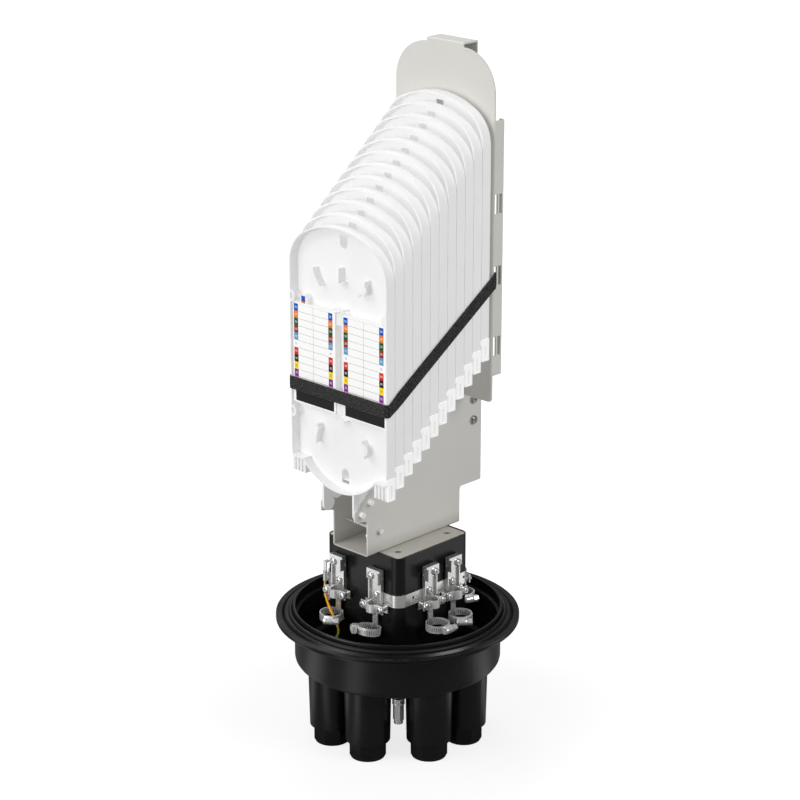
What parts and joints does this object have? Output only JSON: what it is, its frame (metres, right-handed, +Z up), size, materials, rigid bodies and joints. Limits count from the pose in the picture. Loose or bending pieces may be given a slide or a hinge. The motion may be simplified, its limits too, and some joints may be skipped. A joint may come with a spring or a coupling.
{
  "type": "dome splice closure",
  "caption": "Fibre dome splice closure without its dome: round port base, square pedestal with cable anchors, and a bracket of stepped hinged splice trays held by a strap.",
  "frame": {"origin": "centre of the base, level with the lowest faces of the port caps", "axes": "+Z up along the closure, -Y to the front where the first tray and its label cards face, +X to the right seen from the front"},
  "size_m": [0.29, 0.29, 0.826],
  "materials": {
    "black_plastic": "satin injection-moulded plastic",
    "seal_rubber": "soft black rubber",
    "painted_frame": "beige powder coat",
    "white_plastic": "white satin plastic",
    "printed_card": "printed label card",
    "black_webbing": "woven black webbing",
    "bright_steel": "bright zinc plate",
    "tinned_strip": "bright tinned strip",
    "wire_sleeve": "green and yellow insulation"
  },
  "bodies": {
    "closure_base": {"base_bowl": "black_plastic", "base_flange": "black_plastic", "cable_ports": "black_plastic", "flange_seal": "seal_rubber", "pedestal": "black_plastic", "pedestal_plate": "painted_frame", "plate_screws": "bright_steel", "frame_channel": "painted_frame", "channel_screws": "bright_steel", "cross_rod": "bright_steel", "back_plate": "painted_frame", "frame_screws": "bright_steel", "strap": "black_webbing", "bonding_strip": "tinned_strip", "cable_bracket_1": "bright_steel", "cable_bracket_2": "bright_steel", "cable_bracket_3": "bright_steel", "cable_bracket_4": "bright_steel", "cable_bracket_5": "bright_steel", "cable_bracket_6": "bright_steel", "cable_bracket_7": "bright_steel", "cable_bracket_8": "bright_steel", "hose_clamp_1": "bright_steel", "hose_clamp_2": "bright_steel", "hose_clamp_3": "bright_steel", "hose_clamp_4": "bright_steel", "hose_clamp_5": "bright_steel", "hose_clamp_6": "bright_steel", "hose_clamp_7": "bright_steel", "hose_clamp_8": "bright_steel", "lug_plates": "bright_steel", "cable_yokes": "bright_steel", "anchor_screws": "bright_steel", "earth_stud": "bright_steel", "stud_nuts": "bright_steel", "stud_washer": "bright_steel", "earth_terminals": "bright_steel", "earth_wire": "wire_sleeve"},
    "tray_01_body": {"tray_01": "white_plastic", "label_card_left": "printed_card", "label_card_right": "printed_card"},
    "tray_02_body": {"tray_02": "white_plastic"},
    "tray_03_body": {"tray_03": "white_plastic"},
    "tray_04_body": {"tray_04": "white_plastic"},
    "tray_05_body": {"tray_05": "white_plastic"},
    "tray_06_body": {"tray_06": "white_plastic"},
    "tray_07_body": {"tray_07": "white_plastic"},
    "tray_08_body": {"tray_08": "white_plastic"},
    "tray_09_body": {"tray_09": "white_plastic"},
    "tray_10_body": {"tray_10": "white_plastic"},
    "tray_11_body": {"tray_11": "white_plastic"},
    "tray_12_body": {"tray_12": "white_plastic"},
    "worm_screw_1_body": {"worm_screw_1": "bright_steel"},
    "worm_screw_2_body": {"worm_screw_2": "bright_steel"},
    "worm_screw_3_body": {"worm_screw_3": "bright_steel"},
    "worm_screw_4_body": {"worm_screw_4": "bright_steel"},
    "worm_screw_5_body": {"worm_screw_5": "bright_steel"},
    "worm_screw_6_body": {"worm_screw_6": "bright_steel"},
    "worm_screw_7_body": {"worm_screw_7": "bright_steel"},
    "worm_screw_8_body": {"worm_screw_8": "bright_steel"}
  },
  "joints": [
    {"name": "tray_01_tilt", "type": "hinge", "parent": "closure_base", "child": "tray_01_body", "pos_m": [0, -0.089, 0.306], "axis": [1, 0, 0], "range_deg": [0, 60], "deforming": ["strap"]},
    {"name": "tray_02_tilt", "type": "hinge", "parent": "closure_base", "child": "tray_02_body", "pos_m": [0, -0.075, 0.3178], "axis": [1, 0, 0], "range_deg": [0, 60]},
    {"name": "tray_03_tilt", "type": "hinge", "parent": "closure_base", "child": "tray_03_body", "pos_m": [0, -0.061, 0.3296], "axis": [1, 0, 0], "range_deg": [0, 60]},
    {"name": "tray_04_tilt", "type": "hinge", "parent": "closure_base", "child": "tray_04_body", "pos_m": [0, -0.047, 0.3414], "axis": [1, 0, 0], "range_deg": [0, 60]},
    {"name": "tray_05_tilt", "type": "hinge", "parent": "closure_base", "child": "tray_05_body", "pos_m": [0, -0.033, 0.3532], "axis": [1, 0, 0], "range_deg": [0, 60]},
    {"name": "tray_06_tilt", "type": "hinge", "parent": "closure_base", "child": "tray_06_body", "pos_m": [0, -0.019, 0.365], "axis": [1, 0, 0], "range_deg": [0, 60]},
    {"name": "tray_07_tilt", "type": "hinge", "parent": "closure_base", "child": "tray_07_body", "pos_m": [0, -0.005, 0.3768], "axis": [1, 0, 0], "range_deg": [0, 60]},
    {"name": "tray_08_tilt", "type": "hinge", "parent": "closure_base", "child": "tray_08_body", "pos_m": [0, 0.009, 0.3886], "axis": [1, 0, 0], "range_deg": [0, 60]},
    {"name": "tray_09_tilt", "type": "hinge", "parent": "closure_base", "child": "tray_09_body", "pos_m": [0, 0.023, 0.4004], "axis": [1, 0, 0], "range_deg": [0, 60]},
    {"name": "tray_10_tilt", "type": "hinge", "parent": "closure_base", "child": "tray_10_body", "pos_m": [0, 0.037, 0.4122], "axis": [1, 0, 0], "range_deg": [0, 60]},
    {"name": "tray_11_tilt", "type": "hinge", "parent": "closure_base", "child": "tray_11_body", "pos_m": [0, 0.051, 0.424], "axis": [1, 0, 0], "range_deg": [0, 60]},
    {"name": "tray_12_tilt", "type": "hinge", "parent": "closure_base", "child": "tray_12_body", "pos_m": [0, 0.065, 0.4358], "axis": [1, 0, 0], "range_deg": [0, 60]},
    {"name": "worm_1_turn", "type": "hinge", "parent": "closure_base", "child": "worm_screw_1_body", "pos_m": [-0.02379, -0.09126, 0.1585], "axis": [-0.8192, -0.5736, 0], "continuous": true},
    {"name": "worm_2_turn", "type": "hinge", "parent": "closure_base", "child": "worm_screw_2_body", "pos_m": [0.01491, -0.0881, 0.16069], "axis": [-0.7071, 0.6964, -0.1228], "continuous": true},
    {"name": "worm_3_turn", "type": "hinge", "parent": "closure_base", "child": "worm_screw_3_body", "pos_m": [0.09448, -0.0118, 0.1585], "axis": [0, -1, 0], "continuous": true},
    {"name": "worm_4_turn", "type": "hinge", "parent": "closure_base", "child": "worm_screw_4_body", "pos_m": [0.09032, 0.01556, 0.1585], "axis": [-0.6428, -0.766, 0], "continuous": true},
    {"name": "worm_5_turn", "type": "hinge", "parent": "closure_base", "child": "worm_screw_5_body", "pos_m": [0.05051, 0.07001, 0.1585], "axis": [-0.3746, -0.9272, 0], "continuous": true},
    {"name": "worm_6_turn", "type": "hinge", "parent": "closure_base", "child": "worm_screw_6_body", "pos_m": [-0.0364, 0.09209, 0.1585], "axis": [0.866, 0.5, 0], "continuous": true},
    {"name": "worm_7_turn", "type": "hinge", "parent": "closure_base", "child": "worm_screw_7_body", "pos_m": [-0.09448, 0.0118, 0.1585], "axis": [0, 1, 0], "continuous": true},
    {"name": "worm_8_turn", "type": "hinge", "parent": "closure_base", "child": "worm_screw_8_body", "pos_m": [-0.09126, -0.01679, 0.1585], "axis": [0.5736, 0.8192, 0], "continuous": true}
  ],
  "couplings": [
    {"joint": "tray_02_tilt", "follows": "tray_01_tilt", "ratio": 1},
    {"joint": "tray_03_tilt", "follows": "tray_01_tilt", "ratio": 1},
    {"joint": "tray_04_tilt", "follows": "tray_01_tilt", "ratio": 1},
    {"joint": "tray_05_tilt", "follows": "tray_01_tilt", "ratio": 1},
    {"joint": "tray_06_tilt", "follows": "tray_01_tilt", "ratio": 1},
    {"joint": "tray_07_tilt", "follows": "tray_01_tilt", "ratio": 1},
    {"joint": "tray_08_tilt", "follows": "tray_01_tilt", "ratio": 1},
    {"joint": "tray_09_tilt", "follows": "tray_01_tilt", "ratio": 1},
    {"joint": "tray_10_tilt", "follows": "tray_01_tilt", "ratio": 1},
    {"joint": "tray_11_tilt", "follows": "tray_01_tilt", "ratio": 1},
    {"joint": "tray_12_tilt", "follows": "tray_01_tilt", "ratio": 1}
  ]
}
